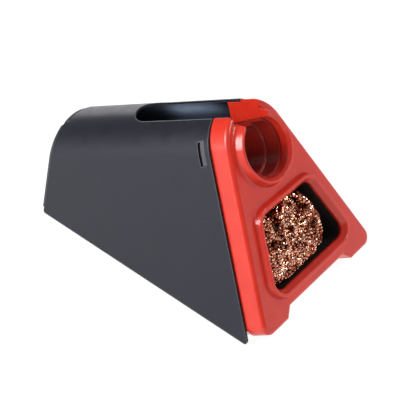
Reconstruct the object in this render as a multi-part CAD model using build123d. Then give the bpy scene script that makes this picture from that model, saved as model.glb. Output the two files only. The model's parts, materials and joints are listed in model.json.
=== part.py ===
from build123d import *
import math
import os

# Soldering iron stand. Millimetres, +Z up, front towards -Y, symmetric about X = 0.
# The origin is the middle of the bounding box, on the surface that the stand rests on.

# ---- driving dimensions -------------------------------------------------------------
RIDGE_LENGTH = 106.45      # cover's ridge, front to rear
RIDGE_SLOPE = 23.15        # degrees, the ridge falls towards the rear
FACE_LEAN = 30.0           # degrees, how far the front's normal points above the horizon
RIDGE_TOP = 91.84          # height of the ridge's front end
RIDGE_FRONT_Y = -18.98     # where that end lies, so that the box is centred on the origin
COVER_EDGE_Z = 1.0         # height of the cover's bottom edges

ROLL_RADIUS = 24.0         # outside of the rolled ridge
SIDE_ANGLE = 17.9          # degrees, each flat side from the vertical plane
SHEET = 1.2                # cover's sheet thickness
EDGE_CORNER = 1.5          # rounding of the sheet's bottom corners

SLOT_HALF_WIDTH = 11.25    # long slot in the ridge
SLOT_ARC_BACK = 46.3       # centre of its round end, behind the front edge

SNAP_LENGTH = 11.0         # side slot that a clip's tongue snaps into
SNAP_WIDTH = 3.7
SNAP_TOP = 10.2            # below the ridge
SNAP_SETBACK = 3.1         # behind the front edge
CLIP_GAP = 1.35            # open part of the slot behind the clip's tongue
CLIP_THICKNESS = 1.2

BAND_INSET = 1.35          # panel's sides inside the cover's outline
BAND_CROWN = 0.42          # and its ridge below the cover's ridge
SKIRT_INSET = 1.6          # part of the panel that slides into the cover
BAND_GAP = 0.4             # between the cover's edge and the band
PANEL_FRONT = 11.15        # panel's face in front of the cover's edge
PANEL_DEPTH_INSIDE = 8.5   # panel's skirt inside the cover
PANEL_WALL = 2.2
FACE_THICKNESS = 2.6
PANEL_EDGE_ROUND = 2.0
FOOT_LEVEL = -103.8        # measured down the face from the ridge
ARCH_LEVEL = -99.0         # between the feet
FOOT_INNER_LOW = 29.0
FOOT_INNER_HIGH = 24.3
FOOT_CORNER = 5.5

COLLAR_LEVEL = -25.6       # collar's centre on the face
COLLAR_TOP = 15.7          # rim, in front of the cover's edge
COLLAR_BASE_RADIUS = 18.9
COLLAR_RIM_RADIUS = 17.6
COLLAR_BORE_RADIUS = 15.0
COLLAR_BORE_END = 10.1
COLLAR_LEAD_IN = 1.4       # chamfer round the mouth of the bore
COLLAR_TUBE_RADIUS = 17.5
REGISTER_RADIUS = 15.3     # recess behind the bore that takes the sleeve
NOTCH_HALF_WIDTH = 9.0     # cut through the collar
CHANNEL_HALF_WIDTH = 10.4  # cut through the panel behind it
CHANNEL_WALL = 1.8
CHANNEL_BACK_Y = 4.9       # channel's rear end behind the ridge's front end
CHANNEL_BACK_DROP = 7.6    # and how far below the ridge's top that is
CHANNEL_BACK_LEAN = 11.5   # degrees, that end from the vertical

SLEEVE_RADIUS = 15.2
SLEEVE_TAIL_RADIUS = 14.2
SLEEVE_BORE_RADIUS = 13.7
SLEEVE_THROAT_RADIUS = 12.5
SLEEVE_THROAT_START = 1.9
SLEEVE_END = -14.0

POCKET_TOP = -53.4         # wool pocket's hole, measured down the face
POCKET_BOTTOM = -89.4
POCKET_HALF_TOP = 19.9
POCKET_HALF_BOTTOM = 31.5
POCKET_CORNER = 5.5
LIP_TOP = 14.0             # raised lip round the pocket
LIP_FLARE = 2.0            # funnel from the hole out to the lip
LIP_WIDTH = 1.6            # flat top of the lip
LIP_DRAFT = 1.1            # lip's outer wall, wider at its base
LIP_HOLE_TOP = 11.4        # where the funnel ends and the straight hole starts

TRAY_WALL = 1.4
TRAY_GAP = 0.2
TRAY_FRONT = 9.9
TRAY_BACK = -12.5
WOOL_GAP = 0.9             # wool inside the pocket's hole
WOOL_FRONT = 12.0
WOOL_SLACK_CORNER = 15.0   # the corner that the ball of wool leaves empty

REAR_RIM = 0.9             # end cap's rim behind the cover
RIM_BOTTOM_Z = 4.1
TAB_HALF_WIDTH = 9.2       # notch in the cover's rear edge that takes the cap's tab
TAB_DEPTH = 3.0
TAB_INSET = 0.65
NOTCH_FLARE = 2.2
REAR_PLATE = 2.6
REAR_SKIRT = 11.0
REAR_WALL = 2.0
REAR_GAP = 0.4

PLATE_Z = 2.5              # base plate's underside
PLATE_THICKNESS = 3.0
PLATE_GAP = 0.5
FOOT_RADIUS = 6.0
STEM_RADIUS = 2.4
SCREW_RADIUS = 1.5
SCREW_HEAD_RADIUS = 2.8
SCREW_HEAD = 1.5
BOSS_RADIUS = 4.0

# ---- frames of reference ------------------------------------------------------------
# Across the ridge: x across, y up from the ridge, z forward along the ridge.
# On the face: x across, y up the face, z out of the face.
SLOPE = math.radians(RIDGE_SLOPE)
LEAN = math.radians(FACE_LEAN)
RIDGE = (0, RIDGE_FRONT_Y, RIDGE_TOP)
ACROSS = Plane(RIDGE, x_dir=(1, 0, 0), z_dir=(0, -math.cos(SLOPE), math.sin(SLOPE)))
FACE = Plane(RIDGE, x_dir=(1, 0, 0), z_dir=(0, -math.cos(LEAN), math.sin(LEAN)))
REAR_Y = RIDGE_FRONT_Y + RIDGE_LENGTH * math.cos(SLOPE)
CLEAR_Z = PLATE_Z + PLATE_THICKNESS + 0.3
FAR = 200.0


# ---- outlines and helpers -----------------------------------------------------------
def arch(inset, bottom, crown=None):
    """Round top with two straight sides that spread downwards; crown is the top's own inset."""
    crown = inset if crown is None else crown
    slant = math.radians(SIDE_ANGLE)
    rise = math.sin(slant)
    radius = (ROLL_RADIUS - inset - (ROLL_RADIUS - crown) * rise) / (1 - rise)
    shoulder_x = radius * math.cos(slant)
    shoulder_y = -crown - radius + radius * rise
    foot_x = shoulder_x + (shoulder_y - bottom) * math.tan(slant)
    left = Line((-foot_x, bottom), (-shoulder_x, shoulder_y))
    top = ThreePointArc((-shoulder_x, shoulder_y), (0, -crown), (shoulder_x, shoulder_y))
    right = Line((shoulder_x, shoulder_y), (foot_x, bottom))
    base = Line((foot_x, bottom), (-foot_x, bottom))
    return make_face(Curve() + [left, top, right, base])


def prism(outline, low, high):
    """Outline drawn in a local frame, filled from one depth to another."""
    return extrude(Pos(0, 0, low) * outline, amount=high - low)


def ridge_solid(inset):
    """The cover's whole inside, drawn in by an inset from its outer surface."""
    return ACROSS * prism(arch(inset, -FAR), -FAR, FAR)


def along_ridge(outline):
    """Endless bar of that outline beside the ridge, in the face's frame."""
    return Rot(X=FACE_LEAN - RIDGE_SLOPE) * prism(outline, -FAR, FAR)


def local_box(x_low, x_high, up_low, up_high, out_low, out_high):
    """Box in the face's frame, not yet placed."""
    size = (x_high - x_low, up_high - up_low, out_high - out_low)
    return Pos((x_high + x_low) / 2, (up_high + up_low) / 2, (out_high + out_low) / 2) * Box(*size)


def face_box(x_low, x_high, up_low, up_high, out_low, out_high):
    """Box in the face's frame, placed on the part."""
    return FACE * local_box(x_low, x_high, up_low, up_high, out_low, out_high)


def world_box(x_low, x_high, y_low, y_high, z_low, z_high):
    size = (x_high - x_low, y_high - y_low, z_high - z_low)
    middle = ((x_high + x_low) / 2, (y_high + y_low) / 2, (z_high + z_low) / 2)
    return Pos(*middle) * Box(*size)


def side_profile(front_y, bottom_z, rear_y, corner):
    """The stand seen from the side, between the leaning front plane and the rear."""
    tan_lean = math.tan(LEAN)
    top_z = RIDGE_TOP + 60
    outline = Polygon(
        (front_y + bottom_z * tan_lean, bottom_z),
        (rear_y, bottom_z),
        (rear_y, top_z),
        (front_y + top_z * tan_lean, top_z),
        align=None,
    )
    if corner:
        low = outline.vertices().sort_by(Axis.Y)[:2]
        outline = fillet(low, corner)
    return extrude(Plane.YZ * outline, amount=FAR / 2, both=True)


def trapezoid(half_top, half_bottom, top, bottom, corner):
    """Pocket outline: wider below, with round corners."""
    points = [(-half_bottom, bottom), (half_bottom, bottom), (half_top, top), (-half_top, top)]
    outline = Polygon(*points, align=None)
    return fillet(outline.vertices(), corner) if corner else outline


def grown(outline, amount):
    return offset(outline, amount=amount, kind=Kind.ARC)


def hexagon_socket(across_flats, depth):
    return extrude(RegularPolygon(across_flats / math.sqrt(3), 6), amount=depth)


def screw(length):
    """Round-head screw, head below and shank up its own z axis from the seat."""
    head = Pos(0, 0, -SCREW_HEAD / 2) * Cylinder(SCREW_HEAD_RADIUS, SCREW_HEAD)
    low_edge = head.edges().group_by(Axis.Z)[0]
    head = fillet(low_edge, 0.6)
    shank = Pos(0, 0, length / 2) * Cylinder(SCREW_RADIUS, length)
    recess = Pos(0, 0, -SCREW_HEAD) * hexagon_socket(2.0, 0.9)
    return head + shank - recess


def ring_sector(outer, inner, window):
    return (outer - inner) & window


# ---- places that several pieces share -----------------------------------------------
FACE_FRONT_LINE = RIDGE_FRONT_Y - RIDGE_TOP * math.tan(LEAN)
FRONT_BOSS = (38.0, -65.0)
REAR_BOSS = (22.0, REAR_Y - 8.5)
FRONT_PAD = (36.0, -52.0)
REAR_PAD = (22.0, 54.0)
TRAY_POST = (30.5, -66.0)
SOCKET_POST = (20.6, -36.5)
POST_RADIUS = 2.9
TRAY_POST_END = 3.0
SOCKET_POST_END = 0.0
SNAP_BOTTOM = SNAP_TOP + SNAP_LENGTH
RIM_TAB_Z = 35.0           # above this the end cap's rim makes way for the tab


def pocket(amount=0.0):
    """The wool pocket's inner outline, grown or shrunk."""
    outline = trapezoid(POCKET_HALF_TOP, POCKET_HALF_BOTTOM, POCKET_TOP, POCKET_BOTTOM, POCKET_CORNER)
    return grown(outline, amount) if amount else outline


def snap_window(side, grow=0.0):
    """The volume of the side slot on the left (-1) or the right (+1)."""
    low, high = sorted((side * 14.0, side * 34.0))
    out_high = -SNAP_SETBACK + grow
    out_low = -SNAP_SETBACK - SNAP_WIDTH - grow
    return face_box(low, high, -SNAP_BOTTOM - grow, -SNAP_TOP + grow, out_low, out_high)


def tab_notch():
    """Opening in the cover's rear edge for the end cap's tab, flared at its mouth."""
    outline = Pos(0, REAR_Y) * Rectangle(2 * TAB_HALF_WIDTH, 2 * TAB_DEPTH)
    flare = TAB_HALF_WIDTH + NOTCH_FLARE
    outline += Pos(0, REAR_Y) * Rectangle(2 * flare, 2 * NOTCH_FLARE)
    for side in (-1, 1):
        outline -= Pos(side * flare, REAR_Y - NOTCH_FLARE) * Circle(NOTCH_FLARE)
    return extrude(Pos(0, 0, RIM_TAB_Z) * outline, amount=FAR)


# ---- cover --------------------------------------------------------------------------
def build_cover():
    shell = ridge_solid(0) - ridge_solid(SHEET)
    shell &= side_profile(FACE_FRONT_LINE, COVER_EDGE_Z, REAR_Y, EDGE_CORNER)
    slot_length = SLOT_ARC_BACK + 40
    outline = Pos(0, -SLOT_ARC_BACK + slot_length / 2) * Rectangle(2 * SLOT_HALF_WIDTH, slot_length)
    outline += Pos(0, -SLOT_ARC_BACK) * Circle(SLOT_HALF_WIDTH)
    from_above = Plane(RIDGE, x_dir=(-1, 0, 0), z_dir=ACROSS.y_dir)
    shell -= extrude(from_above * outline, amount=8, both=True)
    for side in (-1, 1):
        shell -= snap_window(side)
    return shell - tab_notch()


# ---- front panel --------------------------------------------------------------------
def collar_profile(low):
    """Half section of the collar: x is the radius, y runs out of the face."""
    corners = [
        (COLLAR_BORE_RADIUS, low),
        (COLLAR_BORE_RADIUS, COLLAR_TOP - COLLAR_LEAD_IN),
        (COLLAR_BORE_RADIUS + COLLAR_LEAD_IN, COLLAR_TOP),
        (COLLAR_RIM_RADIUS, COLLAR_TOP),
        (COLLAR_BASE_RADIUS, PANEL_FRONT),
        (COLLAR_BASE_RADIUS + 1.7, PANEL_FRONT),
        (COLLAR_BASE_RADIUS + 1.7, low),
    ]
    outline = Polygon(*corners, align=None)
    for corner, radius in ((corners[2], 0.4), (corners[3], 0.5), (corners[4], 1.6)):
        vertex = outline.vertices().sort_by_distance((corner[0], corner[1], 0))[0]
        outline = fillet(vertex, radius)
    return outline


def funnel(low_outline, high_outline, low, high):
    """Solid that runs straight from one outline to another of the same kind."""
    return loft([Pos(0, 0, low) * low_outline, Pos(0, 0, high) * high_outline])


def pocket_lip():
    """Raised lip round the wool pocket, before its hole is cut."""
    crown = pocket(LIP_FLARE + LIP_WIDTH)
    foot = pocket(LIP_FLARE + LIP_WIDTH + LIP_DRAFT)
    lip = funnel(foot, crown, PANEL_FRONT, LIP_TOP)
    return lip + prism(foot, PANEL_FRONT - 1, PANEL_FRONT)


def panel_blank():
    """Solid front panel: the band in front of the cover and the skirt inside it."""
    band = along_ridge(arch(BAND_INSET, -FAR, BAND_CROWN))
    band &= local_box(-FAR, FAR, FOOT_LEVEL, FAR, BAND_GAP, PANEL_FRONT)
    skirt = along_ridge(arch(SKIRT_INSET, -FAR))
    skirt &= local_box(-FAR, FAR, FOOT_LEVEL, FAR, -PANEL_DEPTH_INSIDE, BAND_GAP)
    corners = [edge for body in (band, skirt) for edge in body.edges()
               if abs(edge.center().Y - FOOT_LEVEL) < 0.1 and abs(edge.center().X) > 10]
    band = fillet([edge for edge in corners if edge.center().Z > BAND_GAP + 0.1], FOOT_CORNER)
    skirt = fillet([edge for edge in corners if edge.center().Z < BAND_GAP - 0.1], FOOT_CORNER)
    between = Polygon(
        (-FOOT_INNER_LOW - 1, FOOT_LEVEL - 1),
        (FOOT_INNER_LOW + 1, FOOT_LEVEL - 1),
        (FOOT_INNER_HIGH, ARCH_LEVEL),
        (-FOOT_INNER_HIGH, ARCH_LEVEL),
        align=None,
    )
    band -= prism(between, -FAR, FAR)
    skirt -= prism(between, -FAR, FAR)
    return fillet(band.edges().group_by(Axis.Z)[-1], PANEL_EDGE_ROUND) + skirt


def channel_block():
    """What the notch's channel is cut from: it runs on behind the skirt, under the slot."""
    half = CHANNEL_HALF_WIDTH + CHANNEL_WALL
    block = along_ridge(arch(SKIRT_INSET, -FAR))
    block &= local_box(-half, half, COLLAR_LEVEL + 8, FAR, -20, PANEL_FRONT - FACE_THICKNESS + 0.5)
    behind = Rot(X=-CHANNEL_BACK_LEAN) * Pos(0, FAR / 2, 0) * Box(FAR, FAR, FAR)
    behind = Pos(0, RIDGE_FRONT_Y + CHANNEL_BACK_Y, RIDGE_TOP - CHANNEL_BACK_DROP) * behind
    return block - FACE.to_local_coords(behind)


def panel_cavity():
    """Space behind the face, around the collar's tube."""
    hollow = along_ridge(arch(SKIRT_INSET + PANEL_WALL, -FAR))
    hollow &= local_box(-FAR, FAR, ARCH_LEVEL + PANEL_WALL, FAR,
                        -2 * PANEL_DEPTH_INSIDE, PANEL_FRONT - FACE_THICKNESS)
    kept = Circle(COLLAR_TUBE_RADIUS).locate(Location((0, COLLAR_LEVEL, 0)))
    for x, y in (TRAY_POST, SOCKET_POST):
        for side in (-1, 1):
            kept += Pos(side * x, y) * Circle(POST_RADIUS)
    return hollow - prism(kept, -FAR, FAR)


def post_room(x, y, end):
    """Shortens the two posts at (x, y) to the depth where a flange meets them."""
    room = Part()
    for side in (-1, 1):
        depth = end + 2 * PANEL_DEPTH_INSIDE
        room += Pos(side * x, y, end - depth / 2) * Cylinder(POST_RADIUS + 0.05, depth)
        room += Pos(side * x, y, end) * Cylinder(SCREW_RADIUS + 0.05, 10)
    return room


def build_front_panel():
    panel = panel_blank() - panel_cavity()
    panel -= post_room(*TRAY_POST, TRAY_POST_END)
    panel -= post_room(*SOCKET_POST, SOCKET_POST_END)

    tube_room = PANEL_DEPTH_INSIDE + SOCKET_POST_END
    panel -= Pos(0, COLLAR_LEVEL, -tube_room / 2 - 1) * Cylinder(COLLAR_TUBE_RADIUS + 0.05, tube_room + 2)
    panel += channel_block()
    panel -= Pos(0, COLLAR_LEVEL, 5) * Cylinder(COLLAR_BORE_RADIUS, 40)
    profile = Plane.XZ * collar_profile(PANEL_FRONT - FACE_THICKNESS)
    panel += Pos(0, COLLAR_LEVEL) * revolve(profile, Axis.Z)
    panel -= Pos(0, COLLAR_LEVEL, COLLAR_BORE_END - 20) * Cylinder(REGISTER_RADIUS, 40)

    panel += pocket_lip()
    panel -= funnel(pocket(), pocket(LIP_FLARE), LIP_HOLE_TOP, LIP_TOP)
    panel -= prism(pocket(), 0, LIP_HOLE_TOP)
    panel -= prism(pocket(TRAY_GAP + TRAY_WALL + 0.1), 0, TRAY_FRONT + 0.1)
    lip_edges = [edge for edge in panel.edges() if abs(edge.center().Z - LIP_TOP) < 0.01
                 and edge.center().Y < POCKET_TOP + 12]
    panel = fillet(lip_edges, 0.5)

    panel -= local_box(-NOTCH_HALF_WIDTH, NOTCH_HALF_WIDTH, COLLAR_LEVEL, 10, -30, 30)
    panel -= local_box(-CHANNEL_HALF_WIDTH, CHANNEL_HALF_WIDTH, COLLAR_LEVEL + 8, 10, -30, PANEL_FRONT)

    panel = FACE * panel
    for side in (-1, 1):
        x, y = side * FRONT_BOSS[0], FRONT_BOSS[1]
        panel += Pos(x, y, CLEAR_Z + 6) * Cylinder(BOSS_RADIUS, 12)
    panel -= world_box(-FAR, FAR, -FAR, FAR, -FAR, CLEAR_Z) & face_box(-FAR, FAR, -FAR, FAR, -FAR, 0)
    for side in (-1, 1):
        x, y = side * FRONT_BOSS[0], FRONT_BOSS[1]
        panel -= Pos(x, y, CLEAR_Z + 4) * Cylinder(SCREW_RADIUS + 0.05, 10)
        panel -= snap_window(side, 0.2)
    return panel


# ---- iron socket --------------------------------------------------------------------
def build_iron_socket():
    """Stepped sleeve behind the collar, open on top, with a flange and two ears."""
    front = COLLAR_BORE_END - 0.05
    flange_front = SOCKET_POST_END - 0.1
    flange_back = flange_front - 2.0
    corners = [
        (SLEEVE_BORE_RADIUS, front),
        (SLEEVE_RADIUS, front),
        (SLEEVE_RADIUS, flange_front),
        (COLLAR_TUBE_RADIUS, flange_front),
        (COLLAR_TUBE_RADIUS, flange_back),
        (SLEEVE_TAIL_RADIUS, flange_back),
        (SLEEVE_TAIL_RADIUS, SLEEVE_END),
        (SLEEVE_THROAT_RADIUS, SLEEVE_END),
        (SLEEVE_THROAT_RADIUS, SLEEVE_THROAT_START - 0.8),
        (SLEEVE_THROAT_RADIUS + 0.6, SLEEVE_THROAT_START),
        (SLEEVE_BORE_RADIUS, SLEEVE_THROAT_START),
    ]
    sleeve = Pos(0, COLLAR_LEVEL) * revolve(Plane.XZ * Polygon(*corners, align=None), Axis.Z)
    bore = Pos(0, COLLAR_LEVEL) * Cylinder(SLEEVE_BORE_RADIUS + 1, 60)
    ears = Part()
    for side in (-1, 1):
        x, y = side * SOCKET_POST[0], SOCKET_POST[1]
        ear = make_hull([Circle(POST_RADIUS + 0.3).locate(Location((x, y, 0))).edges()[0],
                         Circle(3.0).locate(Location((side * 12.5, COLLAR_LEVEL - 5, 0))).edges()[0]])
        ears += prism(ear, flange_back, flange_front)
    ears -= bore
    sleeve += ears
    for side in (-1, 1):
        sleeve -= Pos(side * SOCKET_POST[0], SOCKET_POST[1]) * Cylinder(SCREW_RADIUS + 0.15, 20)
    sleeve -= local_box(-NOTCH_HALF_WIDTH, NOTCH_HALF_WIDTH, COLLAR_LEVEL, 20, -30, 30)
    channel = CHANNEL_HALF_WIDTH + CHANNEL_WALL + 0.15
    flange_room = local_box(-channel, channel, COLLAR_LEVEL + 7.8, 20, flange_back - 1, flange_front + 1)
    sleeve -= flange_room - Pos(0, COLLAR_LEVEL) * Cylinder(SLEEVE_RADIUS, 60)
    return FACE * sleeve


# ---- wool tray and wool -------------------------------------------------------------
def build_wool_tray():
    """Bin that sits in the pocket's recess from behind, held by two ears."""
    front = TRAY_FRONT
    ear_front = TRAY_POST_END - 0.1
    inner = pocket(TRAY_GAP)
    outer = pocket(TRAY_GAP + TRAY_WALL)
    tray = prism(outer, TRAY_BACK, front)
    for side in (-1, 1):
        ear = Pos(side * (TRAY_POST[0] - 4), TRAY_POST[1]) * Rectangle(10, 7)
        ear += Pos(side * TRAY_POST[0], TRAY_POST[1]) * Circle(3.5)
        tray += prism(ear, ear_front - 2.0, ear_front)
        tray -= Pos(side * TRAY_POST[0], TRAY_POST[1]) * Cylinder(SCREW_RADIUS + 0.15, 30)
    tray = fillet(tray.faces().sort_by(Axis.Z)[0].edges(), 1.2)
    tray -= prism(inner, TRAY_BACK + TRAY_WALL, front + 1)
    return FACE * tray


def build_copper_wool():
    """Closed outer shape of the ball of cleaning wool."""
    back = TRAY_BACK + TRAY_WALL + 0.3
    outline = trapezoid(POCKET_HALF_TOP, POCKET_HALF_BOTTOM, POCKET_TOP, POCKET_BOTTOM, 0)
    outline = offset(outline, amount=-WOOL_GAP, kind=Kind.INTERSECTION)
    corners = outline.vertices().sort_by(Axis.Y)
    slack = corners[:2].sort_by(Axis.X)[-1]
    others = [corner for corner in corners if corner != slack]
    outline = fillet(others, POCKET_CORNER + 2.0)
    slack = outline.vertices().sort_by_distance((POCKET_HALF_BOTTOM, POCKET_BOTTOM, 0))[0]
    outline = fillet(slack, WOOL_SLACK_CORNER)
    ball = prism(outline, back, WOOL_FRONT)
    ball = fillet(ball.edges().group_by(Axis.Z)[-1], 7.0)
    ball = fillet(ball.edges().group_by(Axis.Z)[0], 3.0)
    return FACE * ball


# ---- rear panel ---------------------------------------------------------------------
def build_rear_panel():
    """End cap: a rim behind the cover's edge, a skirt inside it and a tab in its notch."""
    rear = REAR_Y + REAR_RIM
    plate_front = rear - REAR_PLATE
    inset = SHEET + REAR_GAP
    rim = ridge_solid(0.1) & world_box(-FAR, FAR, REAR_Y + 0.05, rear, RIM_BOTTOM_Z, FAR)
    rim -= world_box(-TAB_HALF_WIDTH - NOTCH_FLARE, TAB_HALF_WIDTH + NOTCH_FLARE, 0, FAR, RIM_TAB_Z, FAR)
    tab = ridge_solid(TAB_INSET) - ridge_solid(inset + 0.5)
    tab_edge = TAB_HALF_WIDTH - 0.15
    tab &= world_box(-tab_edge, tab_edge, REAR_Y - TAB_DEPTH + 0.15, rear, RIM_TAB_Z, FAR)
    body = ridge_solid(inset) & world_box(-FAR, FAR, REAR_Y - REAR_SKIRT, rear, COVER_EDGE_Z + 0.2, FAR)
    hollow = ridge_solid(inset + REAR_WALL)
    hollow &= world_box(-FAR, FAR, -FAR, plate_front, -FAR, FAR)
    cap = body - hollow + rim + tab
    cap -= world_box(-FAR, FAR, -FAR, plate_front, -FAR, CLEAR_Z)
    for side in (-1, 1):
        x, y = side * REAR_BOSS[0], REAR_BOSS[1]
        boss = Pos(x, y, CLEAR_Z + 6) * Cylinder(BOSS_RADIUS, 12)
        boss += world_box(x - 1, x + 1, y, plate_front + 0.5, CLEAR_Z, CLEAR_Z + 12)
        boss -= Pos(x, y, CLEAR_Z + 4) * Cylinder(SCREW_RADIUS + 0.05, 10)
        cap += boss
    return cap


# ---- snap clips ---------------------------------------------------------------------
def build_snap_clip(side):
    """Leaf inside the skirt with a tongue that stands in the cover's side slot."""
    window = snap_window(side, -0.15)
    window &= face_box(-FAR, FAR, -FAR, FAR, -SNAP_SETBACK - SNAP_WIDTH + CLIP_GAP, FAR)
    skirt = SKIRT_INSET + PANEL_WALL + 0.1
    inner = ridge_solid(skirt + CLIP_THICKNESS)
    tongue = ring_sector(ridge_solid(0.3), inner, window)
    leaf = ring_sector(ridge_solid(skirt), inner, snap_window(side, 1.4))
    return tongue + leaf


# ---- base plate, feet and screws ----------------------------------------------------
def plate_half_width(y, z):
    """Half the room between the cover's sides at a place inside it."""
    down = -((y - RIDGE_FRONT_Y) * math.sin(SLOPE) + (z - RIDGE_TOP) * math.cos(SLOPE))
    slant = math.radians(SIDE_ANGLE)
    shoulder = ROLL_RADIUS * (1 - math.sin(slant))
    outside = ROLL_RADIUS * math.cos(slant) + (down - shoulder) * math.tan(slant)
    return outside - SHEET / math.cos(slant)


def build_base_plate():
    top = PLATE_Z + PLATE_THICKNESS
    front = FACE_FRONT_LINE + top * math.tan(LEAN) + 0.4
    rear = REAR_Y + REAR_RIM - REAR_PLATE - 0.3
    half_front = plate_half_width(front, top) - PLATE_GAP
    half_rear = plate_half_width(rear, top) - PLATE_GAP
    corners = [(-half_front, front), (half_front, front), (half_rear, rear), (-half_rear, rear)]
    outline = fillet(Polygon(*corners, align=None).vertices(), 3.0)
    plate = prism(outline, PLATE_Z, top)
    plate = chamfer(plate.edges().group_by(Axis.Z)[0], 0.4)
    for side in (-1, 1):
        for x, y in (FRONT_BOSS, REAR_BOSS):
            plate -= Pos(side * x, y, PLATE_Z) * Cylinder(SCREW_RADIUS + 0.15, 20)
        for x, y in (FRONT_PAD, REAR_PAD):
            plate -= Pos(side * x, y, PLATE_Z) * Cylinder(STEM_RADIUS + 0.1, 20)
    return plate


def build_foot(x, y):
    """Rubber foot: a pad under the plate and a mushroom stem through it."""
    pad = Pos(0, 0, PLATE_Z / 2) * Cylinder(FOOT_RADIUS, PLATE_Z)
    pad = fillet(pad.edges().group_by(Axis.Z)[0], 0.6)
    top = PLATE_Z + PLATE_THICKNESS
    stem = Pos(0, 0, PLATE_Z + PLATE_THICKNESS / 2) * Cylinder(STEM_RADIUS, PLATE_THICKNESS)
    cap = Pos(0, 0, top + 0.6) * Cylinder(STEM_RADIUS + 1.0, 1.2)
    return Pos(x, y) * (pad + stem + cap)


def build_base_screws():
    places = [(side * x, y) for x, y in (FRONT_BOSS, REAR_BOSS) for side in (-1, 1)]
    return [Pos(x, y, PLATE_Z) * screw(10.0) for x, y in places]


def build_post_screws(post, seat, length):
    """Two screws from behind into the panel's posts."""
    return [FACE * Pos(side * post[0], post[1], seat) * screw(length) for side in (-1, 1)]


# ---- the whole stand ----------------------------------------------------------------
def build_all():
    nodes = {
        "cover": build_cover(),
        "front_panel": build_front_panel(),
        "iron_socket": build_iron_socket(),
        "wool_tray": build_wool_tray(),
        "copper_wool": build_copper_wool(),
        "rear_panel": build_rear_panel(),
        "base_plate": build_base_plate(),
        "base_screws": Compound(children=build_base_screws()),
        "tray_screws": Compound(children=build_post_screws(TRAY_POST, TRAY_POST_END - 2.15, 5.0)),
        "socket_screws": Compound(children=build_post_screws(SOCKET_POST, SOCKET_POST_END - 2.15, 5.0)),
    }
    for side, side_name in ((-1, "left"), (1, "right")):
        nodes[f"foot_front_{side_name}"] = build_foot(side * FRONT_PAD[0], FRONT_PAD[1])
        nodes[f"foot_rear_{side_name}"] = build_foot(side * REAR_PAD[0], REAR_PAD[1])
        nodes[f"snap_clip_{side_name}"] = build_snap_clip(side)
    return nodes


os.makedirs("parts", exist_ok=True)
for name, shape in build_all().items():
    export_step(shape, f"parts/{name}.step")
    print(name, [round(value, 2) for value in shape.bounding_box().min],
          [round(value, 2) for value in shape.bounding_box().max])
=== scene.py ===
import json
import math

import bpy
import numpy as np
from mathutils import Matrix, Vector
from mathutils.bvhtree import BVHTree


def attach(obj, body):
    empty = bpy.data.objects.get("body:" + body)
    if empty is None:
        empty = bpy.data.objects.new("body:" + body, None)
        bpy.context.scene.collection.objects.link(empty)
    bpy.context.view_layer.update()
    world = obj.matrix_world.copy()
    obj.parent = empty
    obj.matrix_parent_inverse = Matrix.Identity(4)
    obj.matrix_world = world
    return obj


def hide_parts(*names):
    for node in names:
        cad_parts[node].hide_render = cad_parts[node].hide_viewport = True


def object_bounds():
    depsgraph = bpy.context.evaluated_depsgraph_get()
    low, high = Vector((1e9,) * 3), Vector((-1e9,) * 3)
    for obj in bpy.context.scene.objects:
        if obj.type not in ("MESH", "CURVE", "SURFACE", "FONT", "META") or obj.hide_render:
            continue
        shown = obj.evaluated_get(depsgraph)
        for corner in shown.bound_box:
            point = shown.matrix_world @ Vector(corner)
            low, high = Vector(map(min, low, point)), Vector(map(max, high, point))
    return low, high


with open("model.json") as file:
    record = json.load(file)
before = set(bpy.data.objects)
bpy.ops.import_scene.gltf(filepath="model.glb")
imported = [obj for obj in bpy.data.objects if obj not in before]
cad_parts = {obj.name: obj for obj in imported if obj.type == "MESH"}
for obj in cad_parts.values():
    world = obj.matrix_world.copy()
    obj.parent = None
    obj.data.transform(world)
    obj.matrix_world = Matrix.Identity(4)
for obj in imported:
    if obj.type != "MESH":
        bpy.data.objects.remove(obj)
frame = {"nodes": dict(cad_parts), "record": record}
cad_low, cad_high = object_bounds()

MM = 0.001
CENTRE = (cad_low + cad_high) / 2
NODES = frame["nodes"]
REST = next(m for m in frame["record"]["mounts"] if m["name"] == "iron_rest")
OUTWARD = Vector(REST["axis"])


# ---- camera and studio ------------------------------------------------------------
FLOOR_CENTRE = Vector((CENTRE.x, CENTRE.y, cad_low.z))
CAMERA_AZIMUTH = -53.12
CAMERA_ELEVATION = 37.165
CAMERA_DISTANCE = 620 * MM
CAMERA_AIM = FLOOR_CENTRE + Vector((1.0, -8.64, 23.6)) * MM
CAMERA_LENS = 103.85
SENSOR = 36.0
CLIP_START = 0.01          # m

SKY = (                    # sine of the elevation, and the radiance there
    (0.06, (1.25, 1.25, 1.30)),
    (0.20, (0.10, 0.10, 0.11)),
    (0.85, (0.30, 0.30, 0.32)),
)
SOFTBOXES = {              # azimuth, elevation, distance, width, height (m), radiance
    "key_softbox": (-121, 31, 0.9, 0.46, 0.42, 15),
    "left_softbox": (-122, -4, 1.4, 0.9, 0.5, 2.2),
    "front_softbox": (32, 42, 1.0, 0.36, 0.26, 14.5),
    "back_softbox": (146, 10, 1.0, 0.4, 0.2, 2.0),
}
GLOW_PLACE = FLOOR_CENTRE + Vector((22, 33, 12)) * MM
GLOW_WIDTH = 18 * MM
GLOW_LENGTH = 26 * MM
GLOW_COLOUR = (0.56, 0.72, 1.0)
GLOW_RADIANCE = 2.6
FLOOR_HALF = 10.0          # m
FLOOR_GREY = 0.18
FLOOR_GLOW = 0.92          # the floor's own light keeps it white


def direction(azimuth, elevation):
    """Unit vector from the object towards a viewer or a light."""
    a, e = math.radians(azimuth), math.radians(elevation)
    return Vector((math.sin(a) * math.cos(e), -math.cos(a) * math.cos(e), math.sin(e)))


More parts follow.
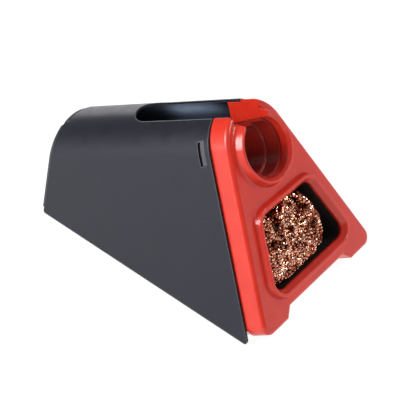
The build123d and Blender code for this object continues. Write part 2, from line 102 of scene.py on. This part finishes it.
def build_camera():
    data = bpy.data.cameras.new("camera")
    data.lens = CAMERA_LENS
    data.sensor_width = SENSOR
    data.clip_start = CLIP_START
    camera = bpy.data.objects.new("camera", data)
    bpy.context.scene.collection.objects.link(camera)
    back = direction(CAMERA_AZIMUTH, CAMERA_ELEVATION)
    camera.rotation_mode = "QUATERNION"
    camera.location = CAMERA_AIM + back * CAMERA_DISTANCE
    camera.rotation_quaternion = (-back).to_track_quat("-Z", "Y")
    bpy.context.scene.camera = camera


def area_light(name, width, height, radiance):
    """A rectangular light, as bright as a screen of that radiance."""
    data = bpy.data.lights.new(name, "AREA")
    data.shape = "RECTANGLE"
    data.size = width
    data.size_y = height
    data.energy = radiance * math.pi * width * height
    light = bpy.data.objects.new(name, data)
    bpy.context.scene.collection.objects.link(light)
    return light


def softbox(name, azimuth, elevation, distance, width, height, radiance):
    """An area light that faces the object."""
    light = area_light(name, width, height, radiance)
    towards = direction(azimuth, elevation)
    light.rotation_mode = "QUATERNION"
    light.location = CENTRE + towards * distance
    light.rotation_quaternion = (-towards).to_track_quat("-Z", "Y")


def build_inner_glow():
    """A weak bluish light low inside the stand, facing up: the far wall shows in the slot."""
    light = area_light("inner_glow", GLOW_WIDTH, GLOW_LENGTH, GLOW_RADIANCE)
    light.data.color = GLOW_COLOUR
    light.location = GLOW_PLACE
    light.rotation_euler.x = math.pi
    light.visible_camera = False


def build_sky():
    """Bright up to just over the horizon, dark above that, and a little paler overhead."""
    world = bpy.data.worlds.new("studio")
    world.use_nodes = True
    bpy.context.scene.world = world
    tree = world.node_tree
    coordinates = tree.nodes.new("ShaderNodeTexCoord")
    split = tree.nodes.new("ShaderNodeSeparateXYZ")
    ramp = tree.nodes.new("ShaderNodeValToRGB")
    stops = ramp.color_ramp.elements
    stops.new(SKY[-1][0])
    for stop, (height, radiance) in zip(stops, SKY):
        stop.position = height
        stop.color = (*radiance, 1)
    background = tree.nodes["Background"]
    background.inputs["Strength"].default_value = 1.0
    tree.links.new(coordinates.outputs["Generated"], split.inputs[0])
    tree.links.new(split.outputs["Z"], ramp.inputs[0])
    tree.links.new(ramp.outputs["Color"], background.inputs["Color"])


def build_studio():
    bpy.context.scene.view_settings.view_transform = "Standard"
    bpy.context.scene.view_settings.look = "None"
    build_sky()
    for name, placing in SOFTBOXES.items():
        softbox(name, *placing)
    build_inner_glow()


def build_floor():
    mesh = bpy.data.meshes.new("floor")
    half = FLOOR_HALF
    corners = [(-half, -half, 0), (half, -half, 0), (half, half, 0), (-half, half, 0)]
    mesh.from_pydata(corners, [], [(0, 1, 2, 3)])
    floor = bpy.data.objects.new("floor", mesh)
    floor.location.z = cad_low.z
    bpy.context.scene.collection.objects.link(floor)
    material, _, shader = new_material("studio_floor")
    shader.inputs["Base Color"].default_value = (FLOOR_GREY, FLOOR_GREY, FLOOR_GREY, 1)
    shader.inputs["Roughness"].default_value = 0.8
    shader.inputs["Specular IOR Level"].default_value = 0.2
    shader.inputs["Emission Color"].default_value = (1, 1, 1, 1)
    shader.inputs["Emission Strength"].default_value = FLOOR_GLOW
    mesh.materials.append(material)


# ---- materials --------------------------------------------------------------------
def new_material(name):
    material = bpy.data.materials.new(name)
    material.use_nodes = True
    tree = material.node_tree
    return material, tree, tree.nodes["Principled BSDF"]


def noise(tree, grain, detail=3.0, stretch=(1, 1, 1)):
    """Noise over the object's own coordinates; grain is the size of its lumps in mm."""
    coordinates = tree.nodes.new("ShaderNodeTexCoord")
    mapping = tree.nodes.new("ShaderNodeMapping")
    mapping.inputs["Scale"].default_value = stretch
    texture = tree.nodes.new("ShaderNodeTexNoise")
    texture.inputs["Scale"].default_value = 1 / (grain * MM)
    texture.inputs["Detail"].default_value = detail
    tree.links.new(coordinates.outputs["Object"], mapping.inputs["Vector"])
    tree.links.new(mapping.outputs["Vector"], texture.inputs["Vector"])
    return texture.outputs["Fac"]


def blend_colours(tree, factor, dark, light, low=0.35, high=0.65):
    ramp = tree.nodes.new("ShaderNodeValToRGB")
    ramp.color_ramp.elements[0].position = low
    ramp.color_ramp.elements[0].color = (*dark, 1)
    ramp.color_ramp.elements[1].position = high
    ramp.color_ramp.elements[1].color = (*light, 1)
    tree.links.new(factor, ramp.inputs[0])
    return ramp.outputs["Color"]


def remap(tree, value, low, high):
    """The value's middle range, 0.3 to 0.7, spread from low to high."""
    spread = tree.nodes.new("ShaderNodeMapRange")
    spread.inputs["From Min"].default_value = 0.3
    spread.inputs["From Max"].default_value = 0.7
    spread.inputs["To Min"].default_value = low
    spread.inputs["To Max"].default_value = high
    tree.links.new(value, spread.inputs["Value"])
    return spread.outputs["Result"]


def bump(tree, height, depth, before=None):
    """Bump of that depth in mm, over an earlier one if given."""
    node = tree.nodes.new("ShaderNodeBump")
    node.inputs["Strength"].default_value = 1.0
    node.inputs["Distance"].default_value = depth * MM
    tree.links.new(height, node.inputs["Height"])
    if before:
        tree.links.new(before, node.inputs["Normal"])
    return node.outputs["Normal"]


def soft_edges(tree, radius):
    """Normals as if every edge had that radius in mm."""
    node = tree.nodes.new("ShaderNodeBevel")
    node.samples = 4
    node.inputs["Radius"].default_value = radius * MM
    return node.outputs["Normal"]


def edge_wear_and_sheen_mask(tree, rounded, low, high):
    """0 on flat areas and 1 at the edges, from how far the rounded normal leans."""
    geometry = tree.nodes.new("ShaderNodeNewGeometry")
    dot = tree.nodes.new("ShaderNodeVectorMath")
    dot.operation = "DOT_PRODUCT"
    tree.links.new(rounded, dot.inputs[0])
    tree.links.new(geometry.outputs["Normal"], dot.inputs[1])
    spread = tree.nodes.new("ShaderNodeMapRange")
    spread.inputs["From Min"].default_value = high
    spread.inputs["From Max"].default_value = low
    tree.links.new(dot.outputs["Value"], spread.inputs["Value"])
    return spread.outputs["Result"]


def mix_colours(tree, factor, first, second):
    mix = tree.nodes.new("ShaderNodeMix")
    mix.data_type = "RGBA"
    tree.links.new(factor, mix.inputs[0])
    tree.links.new(first, mix.inputs[6])
    mix.inputs[7].default_value = (*second, 1)
    return mix.outputs[2]


def powder_coat():
    """Satin black powder coat: fine orange peel, uneven gloss, paler on the sheet's edges, partly thinner
    coat there and partly a painted highlight where the edges catch light.
    """
    material, tree, shader = new_material("powder_coat")
    speckle = blend_colours(tree, noise(tree, 0.5, 4), (0.007, 0.007, 0.012), (0.013, 0.013, 0.020))
    rounded = soft_edges(tree, 0.35)
    edges = edge_wear_and_sheen_mask(tree, soft_edges(tree, 0.9), 0.8, 0.98)
    # the pale edge colour (0.16, 0.16, 0.17) is partly thinner coat and partly a painted highlight on the
    # sheet's edges
    tree.links.new(mix_colours(tree, edges, speckle, (0.16, 0.16, 0.17)), shader.inputs["Base Color"])
    tree.links.new(remap(tree, noise(tree, 6.0), 0.29, 0.36), shader.inputs["Roughness"])
    shader.inputs["Specular IOR Level"].default_value = 0.36
    shader.inputs["Specular Tint"].default_value = (0.88, 0.90, 1.0, 1)
    tree.links.new(bump(tree, noise(tree, 0.55, 3), 0.03, rounded), shader.inputs["Normal"])
    return material


def red_plastic(name="red_plastic", dark=(0.58, 0.026, 0.012), light=(0.63, 0.031, 0.015)):
    """Semi-gloss moulded plastic with a very fine spark texture."""
    material, tree, shader = new_material(name)
    tree.links.new(blend_colours(tree, noise(tree, 9.0, 2), dark, light), shader.inputs["Base Color"])
    tree.links.new(remap(tree, noise(tree, 4.0), 0.20, 0.26), shader.inputs["Roughness"])
    tree.links.new(bump(tree, noise(tree, 0.22, 3), 0.005, soft_edges(tree, 0.35)),
                   shader.inputs["Normal"])
    return material


def painted_shade_socket_red():
    """The socket is a deeper red than the front panel: painted shade, for the dim inside of the bore."""
    return red_plastic("painted_shade_socket_red", (0.27, 0.016, 0.010), (0.31, 0.020, 0.013))


def black_plastic():
    """Matt black moulding with a spark-eroded texture."""
    material, tree, shader = new_material("black_plastic")
    tree.links.new(blend_colours(tree, noise(tree, 3.0, 4), (0.011, 0.010, 0.010), (0.017, 0.016, 0.016)),
                   shader.inputs["Base Color"])
    tree.links.new(remap(tree, noise(tree, 2.0), 0.5, 0.62), shader.inputs["Roughness"])
    tree.links.new(bump(tree, noise(tree, 0.35, 4), 0.03), shader.inputs["Normal"])
    return material


def clip_plastic():
    """Grey nylon of the snap clips."""
    material, tree, shader = new_material("clip_plastic")
    tree.links.new(blend_colours(tree, noise(tree, 2.0, 3), (0.030, 0.036, 0.048), (0.045, 0.052, 0.066)),
                   shader.inputs["Base Color"])
    tree.links.new(remap(tree, noise(tree, 1.0), 0.36, 0.46), shader.inputs["Roughness"])
    tree.links.new(bump(tree, noise(tree, 0.3, 3), 0.01), shader.inputs["Normal"])
    return material


def zinc_plate():
    """Zinc-plated sheet: brushed along its length, with faint clouding."""
    material, tree, shader = new_material("zinc_plate")
    shader.inputs["Metallic"].default_value = 1.0
    tree.links.new(blend_colours(tree, noise(tree, 7.0, 4), (0.50, 0.51, 0.52), (0.62, 0.63, 0.64)),
                   shader.inputs["Base Color"])
    brushed = noise(tree, 0.4, 4, (1, 0.03, 1))
    tree.links.new(remap(tree, brushed, 0.28, 0.48), shader.inputs["Roughness"])
    tree.links.new(bump(tree, brushed, 0.006), shader.inputs["Normal"])
    return material


def screw_steel():
    """Zinc-plated steel of the screws."""
    material, tree, shader = new_material("screw_steel")
    shader.inputs["Metallic"].default_value = 1.0
    tree.links.new(blend_colours(tree, noise(tree, 1.2, 4), (0.40, 0.40, 0.42), (0.52, 0.52, 0.54)),
                   shader.inputs["Base Color"])
    tree.links.new(remap(tree, noise(tree, 0.6), 0.3, 0.5), shader.inputs["Roughness"])
    tree.links.new(bump(tree, noise(tree, 0.15, 3), 0.004), shader.inputs["Normal"])
    return material


def rubber():
    """Dark grey rubber of the feet."""
    material, tree, shader = new_material("rubber")
    tree.links.new(blend_colours(tree, noise(tree, 1.5, 4), (0.018, 0.018, 0.018), (0.032, 0.032, 0.032)),
                   shader.inputs["Base Color"])
    tree.links.new(remap(tree, noise(tree, 1.0), 0.68, 0.82), shader.inputs["Roughness"])
    tree.links.new(bump(tree, noise(tree, 0.25, 4), 0.03), shader.inputs["Normal"])
    return material


def copper_ribbon(name, dark, light):
    """Bright copper chips with drawn streaks; given darker colours, it paints shade on the strands deeper
    in the ball.
    """
    material, tree, shader = new_material(name)
    shader.inputs["Metallic"].default_value = 1.0
    tree.links.new(blend_colours(tree, noise(tree, 1.6, 2), dark, light), shader.inputs["Base Color"])
    tree.links.new(remap(tree, noise(tree, 0.8), 0.04, 0.11), shader.inputs["Roughness"])
    tree.links.new(bump(tree, noise(tree, 0.5, 1), 0.008), shader.inputs["Normal"])
    return material


def copper_shadow():
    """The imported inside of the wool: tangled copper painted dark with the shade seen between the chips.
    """
    material, tree, shader = new_material("copper_shadow")
    tangle = noise(tree, 0.9, 4)
    shader.inputs["Metallic"].default_value = 0.8
    tree.links.new(blend_colours(tree, tangle, (0.016, 0.006, 0.004), (0.20, 0.07, 0.035), 0.4, 0.7),
                   shader.inputs["Base Color"])
    tree.links.new(remap(tree, noise(tree, 0.7), 0.35, 0.6), shader.inputs["Roughness"])
    tree.links.new(bump(tree, tangle, 0.6), shader.inputs["Normal"])
    return material


SLOT_MATERIALS = {
    "powder_coat": powder_coat,
    "red_plastic": red_plastic,
    "black_plastic": black_plastic,
    "clip_plastic": clip_plastic,
    "zinc_plate": zinc_plate,
    "screw_steel": screw_steel,
    "rubber": rubber,
}
# the socket takes the darker red, which is painted shade inside the bore
NODE_MATERIALS = {"iron_socket": painted_shade_socket_red}


def paint_cad_nodes():
    """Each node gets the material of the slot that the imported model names, or its own."""
    made = {}
    for name, node in NODES.items():
        for slot in node.material_slots:
            maker = SLOT_MATERIALS.get(slot.material.name.split(".")[0])
            maker = NODE_MATERIALS.get(name, maker)
            if maker:
                if maker not in made:
                    made[maker] = maker()
                slot.material = made[maker]


# ---- copper wool ------------------------------------------------------------------
# Lengths are in mm. Two numbers in brackets are the least and the most.
WOOL_SEED = 11
OUTER_STRANDS = 160
OUTER_DEPTHS = (0.4, 1.3)  # where the strands start
INNER_STRANDS = 90
INNER_DEPTHS = (1.9, 3.2)
STRAND_LENGTHS = (18, 34)
STEP = 0.6                 # between the points of a strand's walk
DEPTH_LIMITS = (0.35, 3.4)  # of a strand's axis below the solid's surface
DEPTH_DRIFT = 0.12
TURN_MEMORY = 0.9          # how much of its last turn a strand keeps at each step
TURN_DRIFT = 0.07          # radians
FIRST_TURN = 0.1
AXIS_PASSES = 2            # of smoothing
SHOWN_LIMIT = -0.2         # a face shows if its normal is further than this along OUTWARD
SHOWN_WEIGHT = 3.0         # and strands start there this many times as densely
SEGMENTS_PER_TURN = 10
PITCHES = (1.25, 2.1)      # along the axis, for one turn of the ribbon
CURL_RADII = (0.8, 1.25)
BREATHING = 0.22           # share by which a curl's radius swells and shrinks
BREATHING_PASSES = 60
WOBBLE = 1.2               # radians by which the winding runs ahead or behind
WOBBLE_PASSES = 40
LEAN_LIMIT = 0.5           # radians that a ribbon leans from the curl's surface
TAPER_SEGMENTS = 6         # at each end of a ribbon
TIP_SHARE = 0.15           # width left at the very tip
RIBBON_WIDTH = 0.85
WIDTH_SHARES = (0.8, 1.2)  # one ribbon's width against that
RIBBON_THICKNESS = 0.11
RIBBON_SHARP = 60          # degrees, edges above this stay sharp
WOOL_LEFT = -31.0          # side of the pocket that the ball leans on
WOOL_SQUEEZE = 0.93        # how much of its solid's width the ball fills from there
CORE_VOXEL = 0.9
CORE_INSET = 3.0
CORE_WAVE = 0.3
CORE_WAVE_RATE = 1.7       # radians per mm
CORE_WAVES = (             # direction and phase
    ((1.0, 0.3, 0.2), 0.0),
    ((-0.2, 1.0, 0.4), 1.3),
    ((0.3, -0.4, 1.0), 2.1),
)


class WoolSurface:
    """The outside of the wool's solid, in mm: nearest points and outward normals."""

    def __init__(self, node):
        vertices = [v.co / MM for v in node.data.vertices]
        faces = [tuple(p.vertices) for p in node.data.polygons]
        self.tree = BVHTree.FromPolygons(vertices, faces)
        self.centres = np.array([p.center / MM for p in node.data.polygons])
        self.normals = np.array([p.normal for p in node.data.polygons])
        self.areas = np.array([p.area for p in node.data.polygons]) / MM**2

    def starts(self, count, rng):
        """Random points on the solid, denser on the side that shows in the pocket."""
        shown = self.normals @ np.array(OUTWARD)
        weights = self.areas * np.where(shown > SHOWN_LIMIT, SHOWN_WEIGHT, 1.0)
        chosen = rng.choice(len(weights), count, p=weights / weights.sum())
        return self.centres[chosen]

    def nearest(self, point):
        place, normal, _, _ = self.tree.find_nearest(Vector(point))
        return np.array(place), np.array(normal)


def walk(surface, start, length, depth, rng):
    """A strand's axis: it wanders over the surface at about one depth below it."""
    place, normal = surface.nearest(start)
    heading = np.cross(normal, rng.normal(size=3))
    low, high = DEPTH_LIMITS
    turn = rng.normal() * FIRST_TURN
    points = []
    normals = []
    for _ in range(int(length / STEP)):
        turn = TURN_MEMORY * turn + rng.normal() * TURN_DRIFT
        heading -= normal * (heading @ normal)
        heading /= np.linalg.norm(heading)
        side = np.cross(normal, heading)
        heading = heading * math.cos(turn) + side * math.sin(turn)
        depth = min(max(depth + rng.normal() * DEPTH_DRIFT, low), high)
        place, normal = surface.nearest(place + heading * STEP)
        points.append(place - normal * depth)
        normals.append(normal)
    return np.array(points), np.array(normals)


def smooth(values, passes):
    """Evens out a row of values in place."""
    for _ in range(passes):
        values[1:-1] = (values[:-2] + 2 * values[1:-1] + values[2:]) / 4
    return values


def unit(vectors):
    return vectors / np.linalg.norm(vectors, axis=1, keepdims=True)


def drift(count, passes, rng):
    """Slow random wandering between -1 and 1."""
    values = smooth(rng.normal(size=count), passes)
    return values / np.abs(values).max()


def curl(points, normals, rng):
    """A flat ribbon that winds round the strand's axis, as a tube of three-sided sections."""
    coarse = np.arange(len(points))
    pitch = rng.uniform(*PITCHES)
    per_point = SEGMENTS_PER_TURN * STEP / pitch
    fine = np.linspace(0, len(points) - 1, int(len(points) * per_point))
    axis = np.stack([np.interp(fine, coarse, points[:, i]) for i in range(3)], 1)
    up = unit(np.stack([np.interp(fine, coarse, normals[:, i]) for i in range(3)], 1))
    along = unit(np.gradient(axis, axis=0))
    across = unit(np.cross(along, up))
    up = np.cross(across, along)
    order = np.arange(len(fine))
    wobble = drift(len(fine), WOBBLE_PASSES, rng)
    angle = order * 2 * math.pi / SEGMENTS_PER_TURN + rng.uniform(0, 6.3) + wobble * WOBBLE
    breathing = drift(len(fine), BREATHING_PASSES, rng)
    radius = (rng.uniform(*CURL_RADII) * (1 + BREATHING * breathing))[:, None]
    outward = across * np.cos(angle)[:, None] + up * np.sin(angle)[:, None]
    line = axis + outward * radius
    tangent = unit(np.gradient(line, axis=0))
    flat = unit(np.cross(tangent, outward))
    lean = rng.uniform(-LEAN_LIMIT, LEAN_LIMIT)
    flat = unit(flat * math.cos(lean) + outward * math.sin(lean))
    inward = unit(np.cross(tangent, flat))
    from_end = np.minimum(order, order[::-1])
    taper = np.minimum(1, from_end / TAPER_SEGMENTS + TIP_SHARE)[:, None]
    half = flat * RIBBON_WIDTH / 2 * taper * rng.uniform(*WIDTH_SHARES)
    sections = np.stack([line - half, line + half, line + inward * RIBBON_THICKNESS], 1)
    return sections.reshape(-1, 3)


def ribbon_faces(count):
    """Faces of a closed tube of three-sided sections."""
    faces = []
    for ring in range(count - 1):
        a = 3 * ring
        b = a + 3
        for k in range(3):
            j = (k + 1) % 3
            faces.append((a + k, a + j, b + j, b + k))
    last = 3 * (count - 1)
    faces.append((2, 1, 0))
    faces.append((last, last + 1, last + 2))
    return faces


def wool_piece(name, vertices, faces, material, sharp_above):
    """A piece on the wool's body, squeezed towards the side that the ball leans on."""
    places = vertices.copy()
    places[:, 0] = WOOL_LEFT + (places[:, 0] - WOOL_LEFT) * WOOL_SQUEEZE
    mesh = bpy.data.meshes.new(name)
    mesh.from_pydata((places * MM).tolist(), [], faces)
    mesh.polygons.foreach_set("use_smooth", [True] * len(mesh.polygons))
    mesh.set_sharp_from_angle(angle=math.radians(sharp_above))
    mesh.materials.append(material)
    mesh.update()
    piece = bpy.data.objects.new(name, mesh)
    bpy.context.scene.collection.objects.link(piece)
    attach(piece, "wool")
    return piece


def build_wool_strands(surface, name, count, depths, rng, material):
    vertices = []
    faces = []
    total = 0
    for start in surface.starts(count, rng):
        length = rng.uniform(*STRAND_LENGTHS)
        points, normals = walk(surface, start, length, rng.uniform(*depths), rng)
        tube = curl(smooth(points, AXIS_PASSES), normals, rng)
        faces += [tuple(i + total for i in face) for face in ribbon_faces(len(tube) // 3)]
        vertices.append(tube)
        total += len(tube)
    wool_piece(name, np.concatenate(vertices), faces, material, RIBBON_SHARP)


def build_wool_core(material):
    """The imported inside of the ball, which also stands for the CAD solid."""
    node = NODES["copper_wool"]
    mesh = node.data.copy()
    mesh.materials.clear()
    core = bpy.data.objects.new("wool_core", mesh)
    bpy.context.scene.collection.objects.link(core)
    remesh = core.modifiers.new("remesh", "REMESH")
    remesh.mode = "VOXEL"
    remesh.voxel_size = CORE_VOXEL * MM
    bpy.context.view_layer.update()
    evaluated = core.evaluated_get(bpy.context.evaluated_depsgraph_get())
    shape = bpy.data.meshes.new_from_object(evaluated)
    bpy.data.objects.remove(core)
    places = np.array([v.co for v in shape.vertices]) / MM
    normals = np.array([v.normal for v in shape.vertices])
    waves = sum(np.sin(places @ np.array(axis) * CORE_WAVE_RATE + phase)
                for axis, phase in CORE_WAVES)
    places -= normals * (CORE_INSET + CORE_WAVE * waves)[:, None]
    faces = [tuple(p.vertices) for p in shape.polygons]
    core = wool_piece("wool_core", places, faces, material, 180)
    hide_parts("copper_wool")


def build_wool():
    rng = np.random.default_rng(WOOL_SEED)
    surface = WoolSurface(NODES["copper_wool"])
    bright = copper_ribbon("copper_bright", (0.60, 0.17, 0.065), (1.0, 0.65, 0.49))
    # the darker copy is painted shade for the strands deeper in the ball
    shaded_copper = copper_ribbon("copper_painted_shade", (0.22, 0.055, 0.02), (0.62, 0.22, 0.09))
    build_wool_core(copper_shadow())
    build_wool_strands(surface, "wool_chips_outer", OUTER_STRANDS, OUTER_DEPTHS, rng, bright)
    build_wool_strands(surface, "wool_chips_inner", INNER_STRANDS, INNER_DEPTHS, rng, shaded_copper)


build_camera()
build_studio()
build_floor()
paint_cad_nodes()
build_wool()
